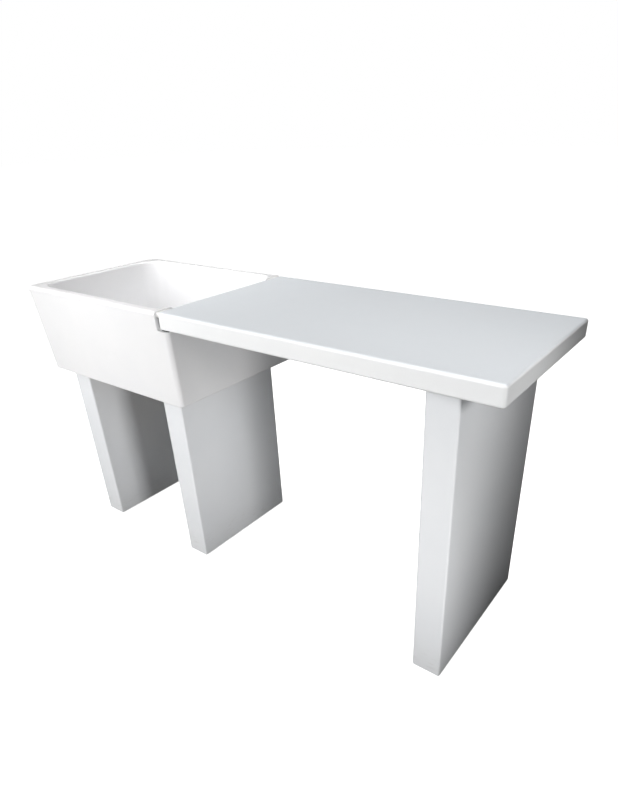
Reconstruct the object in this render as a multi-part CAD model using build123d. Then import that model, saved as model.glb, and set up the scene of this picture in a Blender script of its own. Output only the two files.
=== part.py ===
"""Manicure table: a moulded basin and a moulded worktop on three slab legs.

Millimetres, +Z up. The origin is on the floor under the middle of the table,
+X runs along the table from the basin to the worktop's free end, +Y to the back.
"""

import os

from build123d import *

# Overall
table_length = 1434.0
table_height = 760.0

# Worktop
worktop_length = 864.0
worktop_depth = 446.0
worktop_thickness = 44.0
worktop_skin = 6.0
worktop_corner_radius = 8.0
worktop_edge_radius = 4.5
base_sheet_thickness = 4.0

# Basin: rim size, height, and how far each face leans in from the rim to the underside
basin_depth = 454.0
basin_height = 244.0
basin_lean_left = 24.0
basin_lean_right = 3.0
basin_lean_front = 9.0
basin_wall = 30.0
base_lip = 22.0
basin_floor = 13.0
front_corner_radius = 12.0
back_corner_radius = 34.0
rim_outer_radius = 9.0
underside_edge_radius = 3.0
rim_inner_radius = 7.0
bowl_lean = 4.0
bowl_corner_radius = 55.0
bowl_floor_radius = 16.0
dish_radius = 110.0
dish_fall = 5.0
base_board_thickness = 18.0

# Rebate in the basin's right wall that the worktop's end is let into
rebate_gap = 6.0
rebate_corner_radius = 6.0
rebate_seal_thickness = 2.0
dowel_radius = 4.0
dowel_in_wall = 24.0
dowel_in_worktop = 22.0
dowel_count = 3
dowel_end_margin = 60.0

# Legs
leg_thickness = 72.0
leg_skin = 5.0
leg_corner_radius = 5.0
basin_leg_depth = 360.0
basin_leg_setback = -8.0
basin_leg_inset = 44.0
worktop_leg_depth = 420.0
worktop_leg_inset = 88.0
worktop_leg_setback = 12.0
leg_floor_gap = 4.0
end_cap_thickness = 4.0
plate_thickness = 5.0
upright_size = 40.0
upright_wall = 2.5
upright_end_margin = 70.0

# Levelling feet
foot_end_margin = 44.0
foot_pad_radius = 19.0
stud_radius = 4.0
stud_rise = 34.0
stud_socket_z = 3.0
pad_edge_height = 4.0
pad_neck_radius = 11.0
boss_radius = 10.0
boss_height = 22.0

# Bolts between the legs and the boards above them
bolt_radius = 4.0
bolt_head_width = 13.0
bolt_head_height = 5.3
bolt_engagement = 14.0
bolt_end_gap = 2.0
washer_radius = 8.0
washer_thickness = 1.6
insert_radius = 6.0
bolt_row_spacing = 32.0
bolt_end_margin = 40.0

# Waste fitting in the basin floor
waste_bore_radius = 16.0
waste_stem_radius = 22.0
waste_tail_radius = 20.0
waste_tail_length = 44.0
waste_flange_radius = 35.0
waste_flange_thickness = 3.0
waste_mouth_radius = 18.0
waste_stem_below = 58.0
backnut_radius = 30.0
backnut_height = 9.0
gasket_thickness = 2.0
plug_lift = 10.0
plug_head_radius = 26.0
plug_head_thickness = 5.0
plug_seal_radius = 23.0
plug_seal_thickness = 3.0
plug_neck_radius = 13.0
plug_neck_drop = 6.0
plug_stem_radius = 4.0
spider_hub_radius = 7.0
spider_height = 5.0
spider_drop = 30.0
spider_web = 4.0

# Clearances, and the smallest corner radii an inset may leave
fit = 0.05
board_clearance = 0.5
hole_clearance = 1.0
edge_tolerance = 0.01
least_base_radius = 2.0
least_leg_radius = 1.0

# Places that follow from the sizes above
left_end = -table_length / 2
right_end = table_length / 2
rim_z = table_height
worktop_left = right_end - worktop_length
worktop_bottom = table_height - worktop_thickness
core_bottom = worktop_bottom + base_sheet_thickness
core_top = table_height - worktop_skin
basin_right = worktop_left + basin_wall
basin_bottom = table_height - basin_height
board_top = basin_bottom + base_board_thickness
bowl_bottom = board_top + basin_floor
ledge_z = worktop_bottom - rebate_seal_thickness
notch_x = worktop_left - rebate_gap
dowel_x = (worktop_left + basin_right) / 2
drain_x = (left_end + basin_wall + worktop_left) / 2
drain_z = bowl_bottom - dish_fall
flange_bottom = drain_z + gasket_thickness
flange_top = flange_bottom + waste_flange_thickness
stem_bottom = basin_bottom - waste_stem_below
spider_top = flange_top - spider_drop
stem_end_z = spider_top - spider_height - plug_lift
plate_bottom = leg_floor_gap + end_cap_thickness
plate_top = plate_bottom + plate_thickness

# Each leg: its name, middle, depth and the height of what it carries
basin_foot_left = left_end + basin_lean_left
basin_foot_right = basin_right - basin_lean_right
legs = {
    "left": {
        "x": basin_foot_left + basin_leg_inset + leg_thickness / 2,
        "y": basin_leg_setback,
        "depth": basin_leg_depth,
        "top": basin_bottom,
    },
    "middle": {
        "x": basin_foot_right - basin_leg_inset - leg_thickness / 2,
        "y": basin_leg_setback,
        "depth": basin_leg_depth,
        "top": basin_bottom,
    },
    "right": {
        "x": right_end - worktop_leg_inset - leg_thickness / 2,
        "y": worktop_leg_setback,
        "depth": worktop_leg_depth,
        "top": worktop_bottom,
    },
}


def outline(left, right, front, back, radii, z):
    """Flat face with its own radius at the front-left, front-right, back-right and back-left corners."""
    flat = Pos((left + right) / 2, (front + back) / 2) * Rectangle(right - left, back - front)
    corners = [(left, front), (right, front), (right, back), (left, back)]
    for (x, y), radius in zip(corners, radii):
        corner = min(flat.vertices(), key=lambda v: (v.X - x) ** 2 + (v.Y - y) ** 2)
        flat = fillet(corner, radius)
    return Pos(0, 0, z) * flat


def lean_share(z):
    """How far down from the rim to the underside a height is, from 0 to 1."""
    return (rim_z - z) / basin_height


def basin_outline(z, inset):
    """Outside of the basin at one height, moved in by an inset."""
    share = lean_share(z)
    half_depth = basin_depth / 2 - basin_lean_front * share - inset
    front = max(front_corner_radius - inset, least_base_radius)
    back = back_corner_radius - inset
    return outline(
        left_end + basin_lean_left * share + inset,
        basin_right - basin_lean_right * share - inset,
        -half_depth,
        half_depth,
        (front, front, front, back),
        z,
    )


def bowl_outline(z):
    """Inside of the basin at one height."""
    share = lean_share(z)
    half_depth = basin_depth / 2 - basin_wall - (basin_lean_front + bowl_lean) * share
    radius = bowl_corner_radius
    return outline(
        left_end + basin_wall + (basin_lean_left + bowl_lean) * share,
        worktop_left - (basin_lean_right + bowl_lean) * share,
        -half_depth,
        half_depth,
        (radius, radius, radius, radius),
        z,
    )


def block(left, right, front, back, bottom, top):
    """Plain box between six planes."""
    box = Box(right - left, back - front, top - bottom)
    return Pos((left + right) / 2, (front + back) / 2, (bottom + top) / 2) * box


def rod(x, y, bottom, top, radius):
    """Upright cylinder."""
    return Pos(x, y, (bottom + top) / 2) * Cylinder(radius, top - bottom)


def slab(left, right, front, back, bottom, top, radius):
    """Box with its four upright corners rounded."""
    solid = block(left, right, front, back, bottom, top)
    return fillet(solid.edges().filter_by(Axis.Z), radius)


def group(solids):
    """Several separate solids kept as one node."""
    return Compound(children=[part.solid() for part in solids])


# ---- Basin ----


def drain_hole(radius, bottom, top):
    return rod(drain_x, 0, bottom, top, radius)


def make_basin_shell():
    outer = loft([basin_outline(basin_bottom, 0), basin_outline(rim_z, 0)], ruled=True)
    outer = fillet(outer.faces().sort_by(Axis.Z)[-1].edges(), rim_outer_radius)
    outer = fillet(outer.faces().sort_by(Axis.Z)[0].edges(), underside_edge_radius)
    above = rim_z + basin_wall
    bowl = loft([bowl_outline(bowl_bottom), bowl_outline(above)], ruled=True)
    bowl = fillet(bowl.faces().sort_by(Axis.Z)[0].edges(), bowl_floor_radius)
    shell = outer - bowl
    inner_edge = [
        edge
        for edge in shell.edges().filter_by_position(Axis.Z, rim_z - edge_tolerance, rim_z + edge_tolerance)
        if edge.center().X > left_end + basin_wall / 2
        and edge.center().X < basin_right - basin_wall / 2
        and abs(edge.center().Y) < basin_depth / 2 - basin_wall / 2
    ]
    shell = fillet(inner_edge, rim_inner_radius)
    dish = Pos(drain_x, 0, bowl_bottom - dish_fall / 2) * Cone(waste_flange_radius, dish_radius, dish_fall)
    shell -= dish
    shell -= extrude(basin_outline(basin_bottom, base_lip), base_board_thickness)
    half = basin_depth
    rebate = block(notch_x, basin_right + basin_wall, -half, half, ledge_z, above)
    corner = rebate.edges().filter_by(Axis.Y).sort_by(lambda e: e.center().X + e.center().Z)[0]
    shell -= fillet(corner, rebate_corner_radius)
    shell -= drain_hole(waste_stem_radius + hole_clearance, basin_bottom, rim_z)
    for y in dowel_places():
        shell -= rod(dowel_x, y, ledge_z - dowel_in_wall, ledge_z, dowel_radius + fit)
    return shell


def make_base_board():
    board = extrude(basin_outline(basin_bottom, base_lip + board_clearance), base_board_thickness)
    board -= drain_hole(waste_stem_radius + hole_clearance, basin_bottom, board_top)
    for x, y in bolt_places("left") + bolt_places("middle"):
        board -= rod(x, y, basin_bottom, basin_bottom + bolt_engagement, insert_radius + fit)
    return board


# ---- Rebate joint between the basin and the worktop ----


def dowel_places():
    reach = worktop_depth / 2 - dowel_end_margin
    step = 2 * reach / (dowel_count - 1)
    return [-reach + step * number for number in range(dowel_count)]


def make_dowels():
    bottom = ledge_z - dowel_in_wall + bolt_end_gap
    top = core_bottom + dowel_in_worktop
    return group([rod(dowel_x, y, bottom, top - bolt_end_gap, dowel_radius) for y in dowel_places()])


def make_rebate_seal():
    margin = worktop_edge_radius
    reach = worktop_depth / 2 - margin
    seal = block(
        worktop_left + margin, basin_right - margin, -reach, reach, ledge_z, worktop_bottom
    )
    for y in dowel_places():
        seal -= rod(dowel_x, y, ledge_z, worktop_bottom, dowel_radius + fit)
    return seal


# ---- Worktop ----


def make_worktop_shell():
    half = worktop_depth / 2
    shell = slab(
        worktop_left, right_end, -half, half, worktop_bottom, table_height, worktop_corner_radius
    )
    rims = shell.faces().sort_by(Axis.Z)
    shell = fillet(rims[0].edges() + rims[-1].edges(), worktop_edge_radius)
    inner = worktop_skin
    return shell - slab(
        worktop_left + inner,
        right_end - inner,
        -half + inner,
        half - inner,
        worktop_bottom,
        core_top,
        worktop_corner_radius - inner,
    )


def worktop_filler(bottom, top):
    inset = worktop_skin + board_clearance
    half = worktop_depth / 2 - inset
    return slab(
        worktop_left + inset, right_end - inset, -half, half, bottom, top, worktop_corner_radius - worktop_skin
    )


def make_worktop_core():
    core = worktop_filler(core_bottom, core_top)
    for x, y in bolt_places("right"):
        core -= rod(x, y, core_bottom, core_bottom + bolt_engagement, insert_radius + fit)
    for y in dowel_places():
        core -= rod(dowel_x, y, core_bottom, core_bottom + dowel_in_worktop, dowel_radius + fit)
    return core


def make_worktop_base_sheet():
    sheet = worktop_filler(worktop_bottom, core_bottom)
    for x, y in bolt_places("right"):
        sheet -= rod(x, y, worktop_bottom, core_bottom, bolt_radius + hole_clearance)
    for y in dowel_places():
        sheet -= rod(dowel_x, y, worktop_bottom, core_bottom, dowel_radius + fit)
    return sheet


# ---- Legs ----


def leg_slab(leg, bottom, top, inset):
    half_width = leg_thickness / 2 - inset
    half_depth = leg["depth"] / 2 - inset
    radius = max(leg_corner_radius - inset, least_leg_radius)
    return slab(
        leg["x"] - half_width,
        leg["x"] + half_width,
        leg["y"] - half_depth,
        leg["y"] + half_depth,
        bottom,
        top,
        radius,
    )


def foot_places(name):
    leg = legs[name]
    reach = leg["depth"] / 2 - foot_end_margin
    return {"front": (leg["x"], leg["y"] - reach), "back": (leg["x"], leg["y"] + reach)}


def bolt_places(name):
    leg = legs[name]
    reach = leg["depth"] / 2 - bolt_end_margin
    half = bolt_row_spacing / 2
    return [
        (leg["x"] + side * half, leg["y"] + end * reach) for side in (-1, 1) for end in (-1, 1)
    ]


def make_leg_sleeve(name):
    leg = legs[name]
    return leg_slab(leg, leg_floor_gap, leg["top"], 0) - leg_slab(leg, leg_floor_gap, leg["top"], leg_skin)


def make_leg_frame(name):
    leg = legs[name]
    inset = leg_skin + board_clearance
    top_plate = leg_slab(leg, leg["top"] - plate_thickness, leg["top"], inset)
    for x, y in bolt_places(name):
        top_plate -= rod(x, y, leg["top"] - plate_thickness, leg["top"], bolt_radius + board_clearance)
    frame = top_plate + leg_slab(leg, plate_bottom, plate_top, inset)
    reach = leg["depth"] / 2 - upright_end_margin - upright_size / 2
    for side in (-1, 1):
        outside = upright_size / 2
        inside = outside - upright_wall
        y = leg["y"] + side * reach
        low, high = plate_top, leg["top"] - plate_thickness
        tube = block(leg["x"] - outside, leg["x"] + outside, y - outside, y + outside, low, high)
        tube -= block(leg["x"] - inside, leg["x"] + inside, y - inside, y + inside, low, high)
        frame += tube
    for x, y in foot_places(name).values():
        frame += rod(x, y, plate_top, plate_top + boss_height, boss_radius)
        frame -= rod(x, y, plate_bottom, plate_top + boss_height, stud_radius + fit)
    return frame


def make_leg_end_cap(name):
    cap = leg_slab(legs[name], leg_floor_gap, plate_bottom, leg_skin + board_clearance)
    for x, y in foot_places(name).values():
        cap -= rod(x, y, leg_floor_gap, plate_bottom, foot_pad_radius + hole_clearance)
    return cap


# ---- Levelling feet ----


def make_foot_pad(x, y):
    pad = rod(0, 0, 0, pad_edge_height, foot_pad_radius)
    pad += Pos(0, 0, (pad_edge_height + plate_bottom) / 2) * Cone(
        foot_pad_radius, pad_neck_radius, plate_bottom - pad_edge_height
    )
    pad -= rod(0, 0, stud_socket_z, plate_bottom, stud_radius + fit)
    return Pos(x, y, 0) * pad


def make_foot_stud(x, y):
    return rod(x, y, stud_socket_z, plate_bottom + stud_rise, stud_radius)


# ---- Fasteners ----


def make_bolts(names):
    bolts = []
    for name in names:
        leg = legs[name]
        seat = leg["top"] - plate_thickness - washer_thickness
        reach = leg["top"] + bolt_engagement - bolt_end_gap
        if name == "right":
            reach += base_sheet_thickness
        for x, y in bolt_places(name):
            head = extrude(RegularPolygon(bolt_head_width / 2, 6, major_radius=False), bolt_head_height)
            bolt = Pos(x, y, seat - bolt_head_height) * head
            bolts.append(bolt + rod(x, y, seat, reach, bolt_radius))
    return group(bolts)


def make_washers():
    washers = []
    for name, leg in legs.items():
        top = leg["top"] - plate_thickness
        for x, y in bolt_places(name):
            ring = rod(x, y, top - washer_thickness, top, washer_radius)
            ring -= rod(x, y, top - washer_thickness, top, bolt_radius + board_clearance)
            washers.append(ring)
    return group(washers)


def make_inserts(names, bottom):
    inserts = []
    for name in names:
        for x, y in bolt_places(name):
            sleeve = rod(x, y, bottom, bottom + bolt_engagement, insert_radius)
            sleeve -= rod(x, y, bottom, bottom + bolt_engagement, bolt_radius + fit)
            inserts.append(sleeve)
    return group(inserts)


# ---- Waste fitting ----

def make_waste_body():
    body = drain_hole(waste_flange_radius, flange_bottom, flange_top)
    body += drain_hole(waste_stem_radius, stem_bottom + waste_tail_length, flange_bottom)
    body += drain_hole(waste_tail_radius, stem_bottom, stem_bottom + waste_tail_length)
    body -= drain_hole(waste_bore_radius, stem_bottom, flange_top)
    mouth_depth = waste_mouth_radius - waste_bore_radius
    mouth = Cone(waste_bore_radius, waste_mouth_radius, mouth_depth)
    body -= Pos(drain_x, 0, flange_top - mouth_depth / 2) * mouth
    web = spider_web
    reach = waste_bore_radius + web / 2
    spider = drain_hole(spider_hub_radius, spider_top - spider_height, spider_top)
    spider += block(drain_x - reach, drain_x + reach, -web / 2, web / 2, spider_top - spider_height, spider_top)
    spider += block(drain_x - web / 2, drain_x + web / 2, -reach, reach, spider_top - spider_height, spider_top)
    spider -= drain_hole(plug_stem_radius + fit, spider_top - spider_height, spider_top)
    return body + spider


def ring(outer, inner, bottom, top):
    return drain_hole(outer, bottom, top) - drain_hole(inner, bottom, top)


def make_backnut():
    nut = extrude(RegularPolygon(backnut_radius, 6, major_radius=False), backnut_height)
    top = basin_bottom - gasket_thickness
    nut = Pos(drain_x, 0, top - backnut_height) * nut
    return nut - drain_hole(waste_stem_radius + fit, top - backnut_height, top)


def make_plug():
    head_bottom = flange_top + plug_seal_thickness
    head_top = head_bottom + plug_head_thickness
    head = drain_hole(plug_head_radius, head_bottom, head_top)
    rim = head.edges().filter_by(GeomType.CIRCLE).sort_by(Axis.Z)[-1]
    head = fillet(rim, plug_head_thickness / 2)
    neck = drain_hole(plug_neck_radius, flange_top - plug_neck_drop, head_bottom)
    stem = drain_hole(plug_stem_radius, stem_end_z, flange_top - plug_neck_drop)
    return head + neck + stem


def make_plug_seal():
    top = flange_top + plug_seal_thickness
    return ring(plug_seal_radius, plug_neck_radius + fit, flange_top, top)


# ---- Write every node ----

nodes = {
    "basin_shell": make_basin_shell(),
    "basin_base_board": make_base_board(),
    "rebate_seal": make_rebate_seal(),
    "locating_dowels": make_dowels(),
    "worktop_shell": make_worktop_shell(),
    "worktop_core": make_worktop_core(),
    "worktop_base_sheet": make_worktop_base_sheet(),
    "basin_leg_bolts": make_bolts(["left", "middle"]),
    "worktop_leg_bolts": make_bolts(["right"]),
    "leg_bolt_washers": make_washers(),
    "basin_board_inserts": make_inserts(["left", "middle"], basin_bottom),
    "worktop_core_inserts": make_inserts(["right"], core_bottom),
    "waste_body": make_waste_body(),
    "waste_flange_gasket": ring(
        waste_flange_radius - gasket_thickness, waste_stem_radius + fit, drain_z, flange_bottom
    ),
    "waste_lower_gasket": ring(
        backnut_radius - gasket_thickness, waste_stem_radius + fit, basin_bottom - gasket_thickness, basin_bottom
    ),
    "waste_backnut": make_backnut(),
    "waste_plug": make_plug(),
    "waste_plug_seal": make_plug_seal(),
}
for name in legs:
    nodes[f"{name}_leg_sleeve"] = make_leg_sleeve(name)
    nodes[f"{name}_leg_frame"] = make_leg_frame(name)
    nodes[f"{name}_leg_end_cap"] = make_leg_end_cap(name)
    for end, (x, y) in foot_places(name).items():
        nodes[f"{name}_{end}_foot_pad"] = make_foot_pad(x, y)
        nodes[f"{name}_{end}_foot_stud"] = make_foot_stud(x, y)

os.makedirs("parts", exist_ok=True)
for name, shape in nodes.items():
    export_step(shape, f"parts/{name}.step")
print(len(nodes), "nodes written")
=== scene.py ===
import math

import bpy
import numpy as np
from mathutils import Matrix, Vector


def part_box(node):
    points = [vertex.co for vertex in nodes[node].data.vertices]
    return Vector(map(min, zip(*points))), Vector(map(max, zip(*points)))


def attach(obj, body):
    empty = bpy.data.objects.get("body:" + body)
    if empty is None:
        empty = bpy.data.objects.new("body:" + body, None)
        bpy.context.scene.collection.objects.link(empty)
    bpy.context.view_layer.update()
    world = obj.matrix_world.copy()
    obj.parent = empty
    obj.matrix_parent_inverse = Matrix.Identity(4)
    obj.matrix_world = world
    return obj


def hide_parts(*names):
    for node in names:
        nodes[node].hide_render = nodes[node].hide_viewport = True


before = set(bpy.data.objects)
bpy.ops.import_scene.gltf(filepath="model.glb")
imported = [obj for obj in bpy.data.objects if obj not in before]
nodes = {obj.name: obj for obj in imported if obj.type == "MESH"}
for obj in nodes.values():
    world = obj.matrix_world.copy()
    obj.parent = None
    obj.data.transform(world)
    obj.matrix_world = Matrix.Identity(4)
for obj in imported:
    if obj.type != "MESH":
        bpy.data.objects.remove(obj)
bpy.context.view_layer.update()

mm = 0.001


# ---------- small tools ----------


# puts points and four-sided faces into a new mesh object that rides on the table
def addMesh(name, points, quads, body="table"):
    mesh = bpy.data.meshes.new(name)
    mesh.from_pydata(points.tolist(), [], quads.tolist())
    mesh.update()
    mesh.shade_smooth()
    piece = bpy.data.objects.new(name, mesh)
    bpy.context.scene.collection.objects.link(piece)
    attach(piece, body)
    return piece


def addAttribute(piece, name, values):
    layer = piece.data.attributes.new(name, "FLOAT", "POINT")
    layer.data.foreach_set("value", np.ascontiguousarray(values, dtype=np.float32))


# rings is a grid of points, ring number by place round the ring; neighbours are joined into quads,
# each ring closes on itself, and closed=True also joins the last ring to the first
def ringQuads(ringCount, roundCount, closed=False):
    ring = np.arange(ringCount if closed else ringCount - 1)[:, None]
    place = np.arange(roundCount)[None, :]
    after = (place + 1) % roundCount
    above = (ring + 1) % ringCount
    corners = [ring * roundCount + place, ring * roundCount + after, above * roundCount + after]
    corners.append(above * roundCount + place)
    return np.stack(np.broadcast_arrays(*corners), -1).reshape(-1, 4)


# ---------- node materials ----------


# one value inside a material; plain arithmetic on it adds Math nodes
class Signal:
    def __init__(self, maker, socket):
        self.maker = maker
        self.socket = socket

    def __add__(self, other):
        return self.maker.math("ADD", self, other)

    def __radd__(self, other):
        return self.maker.math("ADD", other, self)

    def __sub__(self, other):
        return self.maker.math("SUBTRACT", self, other)

    def __rsub__(self, other):
        return self.maker.math("SUBTRACT", other, self)

    def __mul__(self, other):
        return self.maker.math("MULTIPLY", self, other)

    def __rmul__(self, other):
        return self.maker.math("MULTIPLY", other, self)

    def __truediv__(self, other):
        return self.maker.math("DIVIDE", self, other)

    def __rtruediv__(self, other):
        return self.maker.math("DIVIDE", other, self)

    def __pow__(self, other):
        return self.maker.math("POWER", self, other)

    def clamped(self):
        return self.maker.math("MAXIMUM", self.maker.math("MINIMUM", self, 1.0), 0.0)


# builds one material: node() adds any node, the rest are the patterns that the finishes share
class Finish:
    def __init__(self, name):
        self.material = bpy.data.materials.new(name)
        self.material.use_nodes = True
        self.tree = self.material.node_tree
        self.shader = self.tree.nodes["Principled BSDF"]
        self.place = self.node("ShaderNodeTexCoord").outputs["Object"]

    def node(self, kind, settings=None, sockets=None):
        made = self.tree.nodes.new(kind)
        for key, value in (settings or {}).items():
            setattr(made, key, value)
        for key, value in (sockets or {}).items():
            self.feed(made.inputs[key], value)
        return made

    def feed(self, socket, value):
        if isinstance(value, Signal):
            self.tree.links.new(value.socket, socket)
        elif isinstance(value, bpy.types.NodeSocket):
            self.tree.links.new(value, socket)
        else:
            socket.default_value = value

    def math(self, operation, first, second=None):
        sockets = {0: first} if second is None else {0: first, 1: second}
        made = self.node("ShaderNodeMath", {"operation": operation}, sockets)
        return Signal(self, made.outputs[0])

    def axis(self, letter):
        made = self.node("ShaderNodeSeparateXYZ", None, {0: self.place})
        return Signal(self, made.outputs[letter])

    # pattern coordinates stretched along each axis
    def stretched(self, scale, turn=(0, 0, 0)):
        sockets = {"Vector": self.place, "Scale": scale, "Rotation": turn}
        return self.node("ShaderNodeMapping", None, sockets).outputs[0]

    def noise(self, scale, detail=3.0, roughness=0.55, vector=None, distortion=0.0):
        sockets = {"Vector": vector or self.place, "Scale": scale, "Detail": detail}
        sockets.update({"Roughness": roughness, "Distortion": distortion})
        return Signal(self, self.node("ShaderNodeTexNoise", None, sockets).outputs[0])

    # 0 below low, 1 above high, smooth between
    def smooth(self, signal, low, high):
        made = self.node("ShaderNodeMapRange", {"interpolation_type": "SMOOTHSTEP"},
                         {"Value": signal, "From Min": low, "From Max": high})
        return Signal(self, made.outputs[0])

    def attribute(self, name):
        made = self.node("ShaderNodeAttribute", {"attribute_name": name})
        return Signal(self, made.outputs["Fac"])

    def blend(self, factor, first, second):
        made = self.node("ShaderNodeMix", {"data_type": "RGBA"})
        self.feed(made.inputs[0], factor)
        self.feed(made.inputs[6], (*first, 1) if isinstance(first, tuple) else first)
        self.feed(made.inputs[7], (*second, 1) if isinstance(second, tuple) else second)
        return made.outputs[2]

    def bump(self, height, distance, strength=1.0, below=None):
        sockets = {"Height": height, "Distance": distance, "Strength": strength}
        if below is not None:
            sockets["Normal"] = below
        return self.node("ShaderNodeBump", None, sockets).outputs[0]

    def done(self, colour, roughness, normal=None, **fixed):
        colour = (*colour, 1) if isinstance(colour, tuple) else colour
        self.feed(self.shader.inputs["Base Color"], colour)
        self.feed(self.shader.inputs["Roughness"], roughness)
        if normal is not None:
            self.feed(self.shader.inputs["Normal"], normal)
        for key, value in fixed.items():
            self.shader.inputs[key.replace("_", " ")].default_value = value
        return self.material


def paint(material, *names):
    for name in names:
        for slot in nodes[name].material_slots:
            slot.material = material


# ---------- soft-edged slabs: the worktop and the legs ----------

slabLook = {
    "arcSteps": 7,  # points round each edge, from flat to 45 degrees
    "supportGap": 1.2 * mm,  # extra line on the flat beside each rounded edge
    "flatSteps": 22,
    "wave": 0.12 * mm,  # how far a moulded face wanders from flat
    "wavesPerMetre": 9.0,
    "waveRates": (1.0, 0.8, 0.9),
    "wavePhases": (1.3, 0.4, 2.1),
    "mergeDigits": 7,  # face borders that agree to this many decimals of a metre become one point
}


# positions along one axis: tan(angle) steps through each rounded end, even steps on the flat
# between them
def slabLine(low, high, radius):
    turn = np.tan(np.linspace(0, math.pi / 4, slabLook["arcSteps"] + 1))
    start, stop = low + radius, high - radius
    gap = slabLook["supportGap"]
    flat = np.linspace(start + gap, stop - gap, slabLook["flatSteps"])
    return np.concatenate([start - radius * turn[::-1], flat, stop + radius * turn])


# A slab is a box whose outer band is pulled onto quarter ellipsoids: each grid point p is clipped
# to the inner box, and leaves it again by the three radii along the direction it was clipped from.
# Faces then get a shallow crown, 1 - x^2 times 1 - y^2 across each face, and a slow wave.
def slabSurface(name, low, high, radii, crown, slot):
    low, high, radii = np.array(low), np.array(high), np.array(radii)
    lines = [slabLine(low[axis], high[axis], radii[axis]) for axis in range(3)]
    points, quads, total = [], [], 0
    for axis in range(3):
        across, up = (axis + 1) % 3, (axis + 2) % 3
        gridA, gridB = np.meshgrid(lines[across], lines[up], indexing="ij")
        for side, level in ((-1, low[axis]), (1, high[axis])):
            face = np.empty((*gridA.shape, 3))
            face[..., axis], face[..., across], face[..., up] = level, gridA, gridB
            countB = gridA.shape[1]
            row = np.arange(gridA.shape[0] - 1)[:, None] * countB
            first = (row + np.arange(countB - 1)[None, :]).ravel() + total
            quad = np.stack([first, first + countB, first + countB + 1, first + 1], -1)
            quads.append(quad if side > 0 else quad[:, ::-1])
            points.append(face.reshape(-1, 3))
            total += gridA.size
    points, quads = np.concatenate(points), np.concatenate(quads)
    inner = np.clip(points, low + radii, high - radii)
    away = (points - inner) / radii
    away /= np.maximum(np.linalg.norm(away, axis=1, keepdims=True), 1e-9)
    edge = (1 - np.abs(away).max(1)) / (1 - math.sqrt(0.5))
    middle, half = (low + high) / 2, (high - low) / 2
    share = (inner - middle) / half
    level = 1 - share**2
    sides = [level[:, 1] * level[:, 2], level[:, 0] * level[:, 2], level[:, 0] * level[:, 1]]
    swell = np.stack(sides, -1)
    phase = points * slabLook["wavesPerMetre"] * 2 * math.pi
    phase = phase * np.array(slabLook["waveRates"]) + np.array(slabLook["wavePhases"])
    wave = np.sin(phase[:, 0]) * np.sin(phase[:, 1]) * np.sin(phase[:, 2])
    lift = swell * (np.array(crown) + slabLook["wave"] * wave[:, None])
    points = inner + away * (radii + lift - np.array(crown))
    rounded = np.round(points, slabLook["mergeDigits"])
    _, first, back = np.unique(rounded, axis=0, return_index=True, return_inverse=True)
    piece = addMesh(name, points[first], back.reshape(-1)[quads], "table")
    addAttribute(piece, "edge", np.clip(edge[first], 0, 1))
    return piece


worktopLook = {
    "radii": (8 * mm, 8 * mm, 6 * mm),
    "crown": (0.2 * mm, 0.2 * mm, 0.35 * mm),
}
legLook = {
    "radii": (5 * mm, 5 * mm, 2.5 * mm),
    "crown": (0.35 * mm, 0.2 * mm, 0.0),
}

worktop = slabSurface("worktopSkin", *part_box("worktop_shell"), worktopLook["radii"],
                      worktopLook["crown"], "moulded_white")
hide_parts("worktop_shell", "worktop_base_sheet")
legs = {}
for side in ("left", "middle", "right"):
    legs[side] = slabSurface(f"{side}LegSkin", *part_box(f"{side}_leg_sleeve"), legLook["radii"],
                             legLook["crown"], "leg_white")
    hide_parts(f"{side}_leg_sleeve")
print("slabs done")


# ---------- sealant in the gap at the worktop's end ----------

sealantLook = {
    "gap": 6 * mm,
    "below": 2.0 * mm,  # how far the bead sits under the rim
    "depth": 14 * mm,
    "dish": 1.2 * mm,
    "steps": 9,
    "places": 40,
    "tuck": 0.4 * mm,  # how far the bead's sides reach into the faces beside it
    "ripple": 0.15 * mm,
    "rippleRate": 700,
    "wall": 30 * mm,
    "intoCorner": 19 * mm,  # how far past the straight bowl wall the gap runs into its corner
    "outsideMargin": 7 * mm,
}


# A bead is a strip whose top is a shallow arc, z = top - dish * (1 - t^2) across the gap, carried
# along the gap and closed underneath by a flat strip at the bottom height.
def sealantBead(name, xLow, xHigh, yLow, yHigh, top, bottom):
    across = np.linspace(-1, 1, sealantLook["steps"])
    xs = (xLow + xHigh) / 2 + across * (xHigh - xLow) / 2
    tops = top - sealantLook["dish"] * (1 - across**2)
    under = np.stack([xs[::-1], np.full_like(xs, bottom)], -1)
    section = np.concatenate([np.stack([xs, tops], -1), under])
    along = np.linspace(yLow, yHigh, sealantLook["places"])
    ripple = sealantLook["ripple"] * np.sin(along * sealantLook["rippleRate"])[:, None]
    grid = np.empty((len(along), len(section), 3))
    grid[..., 0] = section[None, :, 0]
    grid[..., 1] = along[:, None]
    grid[..., 2] = section[None, :, 1] + ripple * (section[None, :, 1] > bottom)
    points = grid.reshape(-1, 3)
    roundCount = len(section)
    quads = ringQuads(len(along), roundCount)
    place = np.arange(roundCount // 2 - 1)
    cap = np.stack([place, place + 1, roundCount - 2 - place, roundCount - 1 - place], -1)
    farCap = (cap + (len(along) - 1) * roundCount)[:, ::-1]
    quads = np.concatenate([quads[:, ::-1], cap, farCap])
    return addMesh(name, points, quads, "table")


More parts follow.
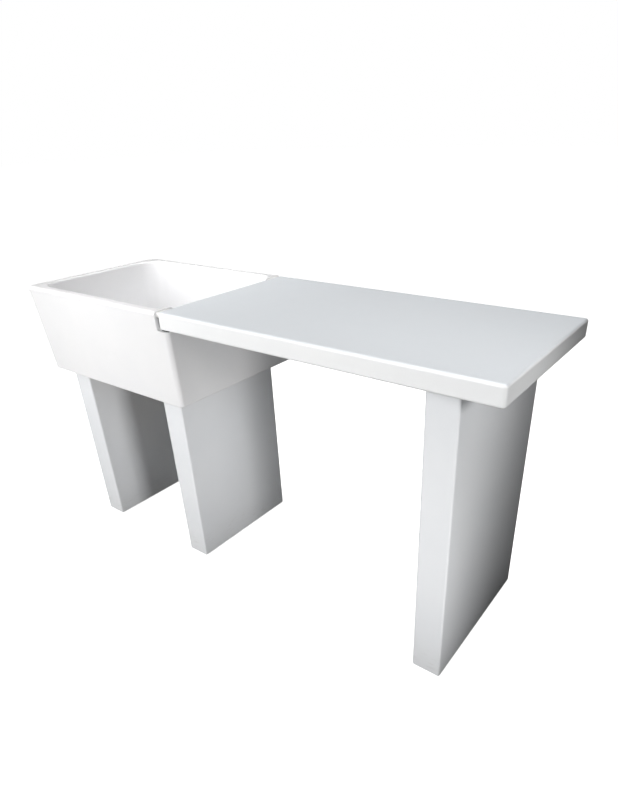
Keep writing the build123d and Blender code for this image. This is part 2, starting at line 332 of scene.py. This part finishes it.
shellLow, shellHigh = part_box("basin_shell")
topLow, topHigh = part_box("worktop_shell")
gapLeft = topLow[0] - sealantLook["gap"]
halfDepth = (shellHigh[1] - shellLow[1]) / 2
sideSpan = (halfDepth - sealantLook["wall"] - sealantLook["intoCorner"],
            halfDepth - sealantLook["outsideMargin"])
beads = []
for name, sign in (("frontSealant", -1), ("backSealant", 1)):
    yLow, yHigh = sorted(sign * span for span in sideSpan)
    beads.append(sealantBead(name, gapLeft - sealantLook["tuck"], topLow[0] + sealantLook["tuck"],
                             yLow, yHigh, topHigh[2] - sealantLook["below"],
                             topHigh[2] - sealantLook["depth"]))
print("sealant done")


# ---------- finishes ----------


whiteLook = {
    "basinTone": (0.80, 0.80, 0.81),
    "worktopTone": (0.86, 0.868, 0.875),
    # painted shade for the worktop's top face: greyer and bluer than its edges, standing in for
    # less light on the top
    "worktopTopShadeTone": (0.61, 0.655, 0.705),
    "legTone": (0.775, 0.79, 0.812),
    "paleShare": 1.015,
    "dullShares": (0.965, 0.972, 0.98),
    "speckTone": (0.55, 0.55, 0.54),
    "wornTone": (0.93, 0.93, 0.925),
    "scuffTone": (0.50, 0.49, 0.47),
    "scaleTone": (0.76, 0.77, 0.76),
    # how much of the painted top-face shade is mixed in
    "topShadeShare": 0.6,
    "topShadeBand": (4 * mm, 0.8 * mm),  # below the top, where the painted shade on the top face starts and is full
    "scuffBand": (12 * mm, 110 * mm),
    "waterBelowRim": 50 * mm,
    "waterFade": 120 * mm,
    "roughness": 0.33,
    "coat": 0.22,
    "coatRoughness": 0.16,
}


# White gel surface: base tone with slow mottling, orange peel of two scales, wiped streaks in the
# gloss, and a paler, glossier band where edges are rubbed. An optional painted shade greys the
# level top face against the lit sides, scuffs marks the floor end, and water leaves lime scale
# below that height.
def mouldedWhite(name, tone, edgeMask=None, scuffs=False, water=None, topShadeTone=None):
    made = Finish(name)
    mottle = made.smooth(made.noise(5.0, 4.0), 0.32, 0.7)
    speck = made.smooth(made.noise(900.0, 2.0, 0.6), 0.66, 0.74)
    wipe = made.noise(1.0, 5.0, 0.6, made.stretched((3.0, 26.0, 9.0), (0, 0, 0.3)), 0.4)
    pale = tuple(value * whiteLook["paleShare"] for value in tone)
    dull = tuple(value * share for value, share in zip(tone, whiteLook["dullShares"]))
    colour = made.blend(mottle * 0.6, pale, dull)
    colour = made.blend(speck * 0.12, colour, whiteLook["speckTone"])
    roughness = whiteLook["roughness"] + 0.09 * wipe + 0.05 * mottle
    if edgeMask:
        worn = made.smooth(made.attribute(edgeMask) + 0.5 * made.noise(60.0), 0.7, 1.3)
        colour = made.blend(worn * 0.35, colour, whiteLook["wornTone"])
        roughness = roughness - 0.08 * worn
    # painted shade: the level top face is blended towards a greyer, bluer tone than the sides,
    # standing in for less light on it
    if topShadeTone:
        start, full = (rimZ - drop for drop in whiteLook["topShadeBand"])
        face = made.smooth(made.axis("Z"), start, full)
        colour = made.blend(face * whiteLook["topShadeShare"], colour, topShadeTone)
    if scuffs:
        low = 1.0 - made.smooth(made.axis("Z"), *whiteLook["scuffBand"])
        marks = made.smooth(made.noise(1.0, 6.0, 0.65, made.stretched((35, 35, 160))), 0.52, 0.72)
        colour = made.blend(low * (0.10 + 0.30 * marks), colour, whiteLook["scuffTone"])
        roughness = roughness + 0.14 * low * marks
    if water:
        inside = made.smooth(made.axis("Z"), water, water - whiteLook["waterFade"])
        scale = made.smooth(made.noise(14.0, 6.0, 0.62), 0.5, 0.68)
        colour = made.blend(inside * scale * 0.10, colour, whiteLook["scaleTone"])
        roughness = roughness + 0.12 * inside * scale
    peel = made.bump(made.noise(260.0, 2.0, 0.5), 0.00022, 0.35)
    normal = made.bump(made.noise(38.0, 2.0, 0.5), 0.0008, 0.22, peel)
    return made.done(colour, roughness.clamped(), normal, Coat_Weight=whiteLook["coat"],
                     Coat_Roughness=whiteLook["coatRoughness"])


rimZ = shellHigh[2]
basinWhite = mouldedWhite("castBasinWhite", whiteLook["basinTone"],
                          water=rimZ - whiteLook["waterBelowRim"])
# the worktop's material also carries the painted shade on its top face
worktopWhiteShadedTop = mouldedWhite("worktopWhiteShadedTop", whiteLook["worktopTone"], edgeMask="edge",
                            topShadeTone=whiteLook["worktopTopShadeTone"])
legWhite = mouldedWhite("legWhite", whiteLook["legTone"], edgeMask="edge", scuffs=True)
paint(basinWhite, "basin_shell")
worktop.data.materials.append(worktopWhiteShadedTop)
for side in legs:
    legs[side].data.materials.append(legWhite)


# Silicone: soft grey-white, faint dust in patches, smeared gloss.
def siliconeFinish():
    made = Finish("siliconeSealant")
    dust = made.smooth(made.noise(120.0, 5.0, 0.6), 0.42, 0.66)
    colour = made.blend(dust * 0.4, (0.80, 0.80, 0.79), (0.66, 0.65, 0.63))
    roughness = (0.42 + 0.22 * dust).clamped()
    return made.done(colour, roughness, made.bump(made.noise(420.0, 3.0), 0.0003, 0.4))


silicone = siliconeFinish()
for bead in beads:
    bead.data.materials.append(silicone)


# Plywood: long grain from stretched noise with fine dark pores across a warm base, edge plies
# by height.
def plywoodFinish(name, warm, dark):
    made = Finish(name)
    grain = made.noise(1.0, 7.0, 0.62, made.stretched((9, 150, 60)), 1.2)
    pore = made.smooth(made.noise(1.0, 3.0, 0.6, made.stretched((60, 1400, 500))), 0.62, 0.72)
    plies = made.smooth(made.math("SINE", made.axis("Z") * 2100.0), 0.1, 0.8)
    colour = made.blend(made.smooth(grain, 0.35, 0.66), warm, dark)
    colour = made.blend(pore * 0.5, colour, tuple(value * 0.55 for value in dark))
    colour = made.blend(plies * 0.25, colour, tuple(value * 0.7 for value in dark))
    normal = made.bump(grain + pore * 0.4, 0.0005, 0.5)
    return made.done(colour, (0.52 + 0.2 * grain).clamped(), normal)


paint(plywoodFinish("boardPlywood", (0.62, 0.47, 0.30), (0.44, 0.30, 0.17)),
      "basin_base_board", "worktop_core")
paint(plywoodFinish("dowelBeech", (0.66, 0.50, 0.34), (0.52, 0.37, 0.22)), "locating_dowels")


# Metal: base tone with drifting tarnish and fine turned or drawn lines.
def metalFinish(name, tone, shade, roughBase, lines=(40, 40, 2600), metallic=1.0, grime=0.3):
    made = Finish(name)
    drift = made.smooth(made.noise(55.0, 5.0, 0.6), 0.36, 0.68)
    drawn = made.noise(1.0, 2.0, 0.5, made.stretched(lines))
    colour = made.blend(drift * grime, tone, shade)
    roughness = roughBase + 0.12 * drift + 0.10 * drawn
    normal = made.bump(drawn, 0.0001, 0.25)
    return made.done(colour, roughness.clamped(), normal, Metallic=metallic)


chrome = metalFinish("wasteChrome", (0.80, 0.81, 0.82), (0.60, 0.61, 0.60), 0.08)
paint(chrome, "waste_body", "waste_plug")
paint(metalFinish("nutBrass", (0.68, 0.52, 0.27), (0.40, 0.28, 0.14), 0.28), "waste_backnut")
paint(metalFinish("insertBrass", (0.70, 0.55, 0.28), (0.42, 0.30, 0.15), 0.25),
      "basin_board_inserts", "worktop_core_inserts")
studNames = [name for name in nodes if name.endswith("_foot_stud")]
paint(metalFinish("zincPlate", (0.62, 0.63, 0.64), (0.42, 0.42, 0.40), 0.30),
      "basin_leg_bolts", "worktop_leg_bolts", "leg_bolt_washers", *studNames)


# Powder coat: orange peel over dark grey, dusty in patches.
def powderCoatFinish():
    made = Finish("framePowderCoat")
    peel = made.noise(700.0, 2.0, 0.5)
    dust = made.smooth(made.noise(30.0, 5.0, 0.6), 0.45, 0.7)
    colour = made.blend(dust * 0.35, (0.045, 0.047, 0.05), (0.14, 0.135, 0.13))
    return made.done(colour, (0.42 + 0.2 * dust).clamped(), made.bump(peel, 0.0003, 0.5))


paint(powderCoatFinish(), *[name for name in nodes if name.endswith("_leg_frame")])


# Rubber and plain plastic: fine moulded grain, paler scuffs in broken patches.
def grainFinish(name, tone, scuffTone, roughBase, grain, scuff=0.35):
    made = Finish(name)
    patch = made.smooth(made.noise(80.0, 6.0, 0.66), 0.5, 0.68)
    colour = made.blend(patch * scuff, tone, scuffTone)
    normal = made.bump(made.noise(grain, 2.0), 0.0002, 0.6)
    return made.done(colour, (roughBase + 0.1 * patch).clamped(), normal)


padNames = [name for name in nodes if name.endswith("_foot_pad")]
paint(grainFinish("footRubber", (0.022, 0.022, 0.024), (0.10, 0.10, 0.10), 0.62, 1500.0), *padNames)
paint(grainFinish("sealRubber", (0.03, 0.03, 0.032), (0.09, 0.09, 0.09), 0.55, 1200.0),
      "rebate_seal", "waste_flange_gasket", "waste_lower_gasket", "waste_plug_seal")
paint(grainFinish("capPlastic", (0.30, 0.305, 0.31), (0.46, 0.46, 0.46), 0.45, 900.0),
      *[name for name in nodes if name.endswith("_leg_end_cap")])
print("finishes done")


# ---------- camera, floor and light ----------

cameraLook = {
    "place": (1.024, -1.087, 1.126),
    "yaw": -37.27,
    "pitch": 29.92,
    "roll": 2.07,
    "lens": 26.6,
    "sensor": 36,
    "shift": (-0.0326, 0.0835),
}


# turns yaw (from +Y), pitch (down) and roll, in degrees, into the camera's three axes
def makeCamera():
    yaw, pitch, roll = (math.radians(cameraLook[key]) for key in ("yaw", "pitch", "roll"))
    ahead = np.array([math.sin(yaw), math.cos(yaw), 0.0]) * math.cos(pitch)
    ahead[2] = -math.sin(pitch)
    level = np.array([math.cos(yaw), -math.sin(yaw), 0.0])
    down = np.cross(ahead, level)
    right = level * math.cos(roll) + down * math.sin(roll)
    under = down * math.cos(roll) - level * math.sin(roll)
    data = bpy.data.cameras.new("camera")
    data.lens = cameraLook["lens"]
    data.sensor_width = cameraLook["sensor"]
    data.shift_x, data.shift_y = cameraLook["shift"]
    camera = bpy.data.objects.new("camera", data)
    turn = Matrix(np.stack([right, -under, -ahead], 1).tolist()).to_4x4()
    camera.matrix_world = Matrix.Translation(cameraLook["place"]) @ turn
    bpy.context.scene.collection.objects.link(camera)
    bpy.context.scene.camera = camera


# a rectangular lamp turned to face a point; a spread in degrees below 180 narrows its beam
def aimedArea(name, place, target, size, power, spread=180):
    data = bpy.data.lights.new(name, "AREA")
    data.shape, data.size, data.size_y = "RECTANGLE", *size
    data.energy, data.color = power, lightLook["lampColour"]
    data.spread = math.radians(spread)
    light = bpy.data.objects.new(name, data)
    light.visible_camera = False
    away = np.array(place, float) - np.array(target, float)
    turn = Vector(away).to_track_quat("Z", "Y")
    light.matrix_world = Matrix.Translation(place) @ turn.to_matrix().to_4x4()
    bpy.context.scene.collection.objects.link(light)


# the floor glows evenly where the camera sees it, and bounces only a little light on the object
def makeFloor():
    mesh = bpy.data.meshes.new("studioFloor")
    reach = lightLook["floorReach"]
    corners = [(-reach, -reach, 0), (reach, -reach, 0), (reach, reach, 0), (-reach, reach, 0)]
    mesh.from_pydata(corners, [], [(0, 1, 2, 3)])
    floor = bpy.data.objects.new("studioFloor", mesh)
    bpy.context.scene.collection.objects.link(floor)
    made = Finish("floorPale")
    tone = made.blend(made.noise(1.5, 3.0) * 0.3, *lightLook["floorTones"])
    material = made.done(tone, lightLook["floorRoughness"])
    made.shader.inputs["Emission Color"].default_value = (1, 1, 1, 1)
    made.shader.inputs["Emission Strength"].default_value = lightLook["floorGlow"]
    ray = made.node("ShaderNodeLightPath").outputs["Is Camera Ray"]
    dim = made.node("ShaderNodeBsdfDiffuse", None, {"Color": (*lightLook["floorBounce"], 1)})
    layers = {0: ray, 1: dim.outputs[0], 2: made.shader.outputs[0]}
    mixed = made.node("ShaderNodeMixShader", None, layers)
    made.feed(made.tree.nodes["Material Output"].inputs["Surface"], mixed.outputs[0])
    mesh.materials.append(material)


lightLook = {
    "lampColour": (1.0, 0.995, 0.985),
    "floorReach": 30.0,
    "floorTones": ((0.90, 0.90, 0.90), (0.87, 0.87, 0.875)),
    "floorRoughness": 0.7,
    "floorGlow": 1.0,
    "floorBounce": (0.2, 0.2, 0.2),
    "skyToCamera": 1.0,
    "skyToObject": 0.01,
    # each lamp: place, target, size, power and, for a beam, its spread in degrees
    "lamps": {
        "overhead": ((-0.2, 0.1, 2.9), (-0.1, 0, 0.5), (2.4, 1.6), 18),
        "overheadBack": ((0.2, 0.6, 3.2), (0, 0, 0.7), (3.0, 2.0), 44),
        "frontWindow": ((-0.6, -3.0, 1.6), (-0.1, 0, 0.5), (2.2, 1.8), 68),
        "frontHigh": ((-0.3, -2.2, 1.7), (-0.2, 0.1, 0.72), (1.4, 0.5), 0.6, 50),
        "leftFront": ((-2.6, -1.8, 1.6), (-0.3, 0, 0.5), (1.6, 1.6), 45),
        "rightLow": ((1.9, -0.8, 0.32), (0.5, -0.36, 0.3), (0.4, 0.4), 1.25, 40),
        "bowl": ((-0.4, -0.9, 1.8), (-0.43, 0.15, 0.68), (0.4, 0.4), 0.42, 35),
        "rightEnd": ((1.7, -0.5, 1.1), (0.7, -0.1, 0.74), (0.3, 0.3), 0.36, 34),
    },
}


# the backdrop is pale where the camera sees it, and dimmer as a light on the object
def makeSky():
    world = bpy.data.worlds.new("studio")
    world.use_nodes = True
    bpy.context.scene.world = world
    tree = world.node_tree
    backdrop = tree.nodes["Background"]
    ray = tree.nodes.new("ShaderNodeLightPath")
    level = tree.nodes.new("ShaderNodeMapRange")
    tree.links.new(ray.outputs["Is Camera Ray"], level.inputs["Value"])
    level.inputs["To Min"].default_value = lightLook["skyToObject"]
    level.inputs["To Max"].default_value = lightLook["skyToCamera"]
    backdrop.inputs["Color"].default_value = (1, 1, 1, 1)
    tree.links.new(level.outputs[0], backdrop.inputs["Strength"])


makeCamera()
makeFloor()
makeSky()
for lampName, lamp in lightLook["lamps"].items():
    aimedArea(lampName, *lamp)
bpy.context.scene.view_settings.view_transform = "Standard"
print("camera, floor and light done")
